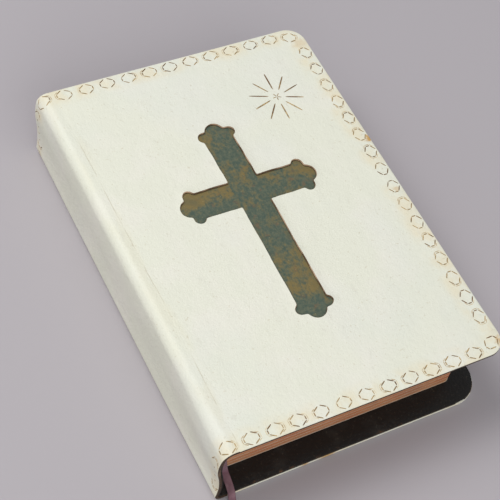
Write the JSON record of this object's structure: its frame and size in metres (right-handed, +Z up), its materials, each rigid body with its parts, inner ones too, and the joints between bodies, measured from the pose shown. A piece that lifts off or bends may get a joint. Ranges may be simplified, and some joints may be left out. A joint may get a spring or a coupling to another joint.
{
  "type": "prayer book",
  "caption": "Closed prayer book in ivory leather with a sunk cross, a stamped border, black liners and a ribbon marker; the covers and the page block open.",
  "frame": {"origin": "centre of the closed book's footprint, on the surface that the back cover lies on", "axes": "+X from the spine to the fore-edge, +Y from the tail to the head, +Z up through the front cover"},
  "size_m": [0.12, 0.2165, 0.036],
  "materials": {
    "white_leather": "ivory painted leather, satin, with brown blind-stamped border",
    "black_liner": "matt black skiver",
    "bible_paper": "thin uncoated cream paper",
    "stained_block": "paper leaves with worn copper-stained edges",
    "linen": "woven linen tape",
    "band_silk": "twisted silk over a cord core",
    "ribbon_silk": "woven dusty rose ribbon"
  },
  "bodies": {
    "back_cover": {"back_cover_leather": "white_leather", "back_cover_liner": "black_liner"},
    "back_flyleaf": {"back_flyleaf": "bible_paper"},
    "rear_half": {"spine_leather_lower": "white_leather", "spine_lining_lower": "black_liner", "signature_07": "stained_block", "signature_08": "stained_block", "signature_09": "stained_block", "signature_10": "stained_block", "signature_11": "stained_block", "signature_12": "stained_block", "sewing_tape_head_lower": "linen", "sewing_tape_middle_lower": "linen", "sewing_tape_tail_lower": "linen", "headband_lower": "band_silk", "tailband_lower": "band_silk", "ribbon_marker": "ribbon_silk"},
    "centre_leaf": {"centre_leaf": "bible_paper"},
    "front_half": {"spine_leather_upper": "white_leather", "spine_lining_upper": "black_liner", "signature_01": "stained_block", "signature_02": "stained_block", "signature_03": "stained_block", "signature_04": "stained_block", "signature_05": "stained_block", "signature_06": "stained_block", "sewing_tape_head_upper": "linen", "sewing_tape_middle_upper": "linen", "sewing_tape_tail_upper": "linen", "headband_upper": "band_silk", "tailband_upper": "band_silk"},
    "front_flyleaf": {"front_flyleaf": "bible_paper"},
    "front_cover": {"front_cover_leather": "white_leather", "front_cover_liner": "black_liner"}
  },
  "joints": [
    {"name": "back_cover_hinge", "type": "hinge", "parent": "back_cover", "child": "rear_half", "pos_m": [-0.06, 0, -0.0003], "axis": [0, 1, 0], "range_deg": [-90, 0]},
    {"name": "block_opening", "type": "hinge", "parent": "rear_half", "child": "front_half", "pos_m": [-0.0603, 0, 0.018], "axis": [0, -1, 0], "range_deg": [0, 180]},
    {"name": "front_cover_hinge", "type": "hinge", "parent": "front_half", "child": "front_cover", "pos_m": [-0.06, 0, 0.0363], "axis": [0, -1, 0], "range_deg": [0, 180]},
    {"name": "front_flyleaf_turn", "type": "hinge", "parent": "front_half", "child": "front_flyleaf", "pos_m": [-0.0546, 0, 0.0335], "axis": [0, -1, 0], "range_deg": [0, 85]},
    {"name": "centre_leaf_turn", "type": "hinge", "parent": "rear_half", "child": "centre_leaf", "pos_m": [-0.057, 0, 0.018], "axis": [0, -1, 0], "range_deg": [0, 90.5]},
    {"name": "back_flyleaf_turn", "type": "hinge", "parent": "back_cover", "child": "back_flyleaf", "pos_m": [-0.0546, 0, 0.0025], "axis": [0, 1, 0], "range_deg": [-45, 0]}
  ],
  "couplings": [
    {"joint": "front_flyleaf_turn", "follows": "front_cover_hinge", "ratio": 0.45},
    {"joint": "centre_leaf_turn", "follows": "block_opening", "ratio": 0.5},
    {"joint": "back_flyleaf_turn", "follows": "back_cover_hinge", "ratio": 0.45}
  ]
}
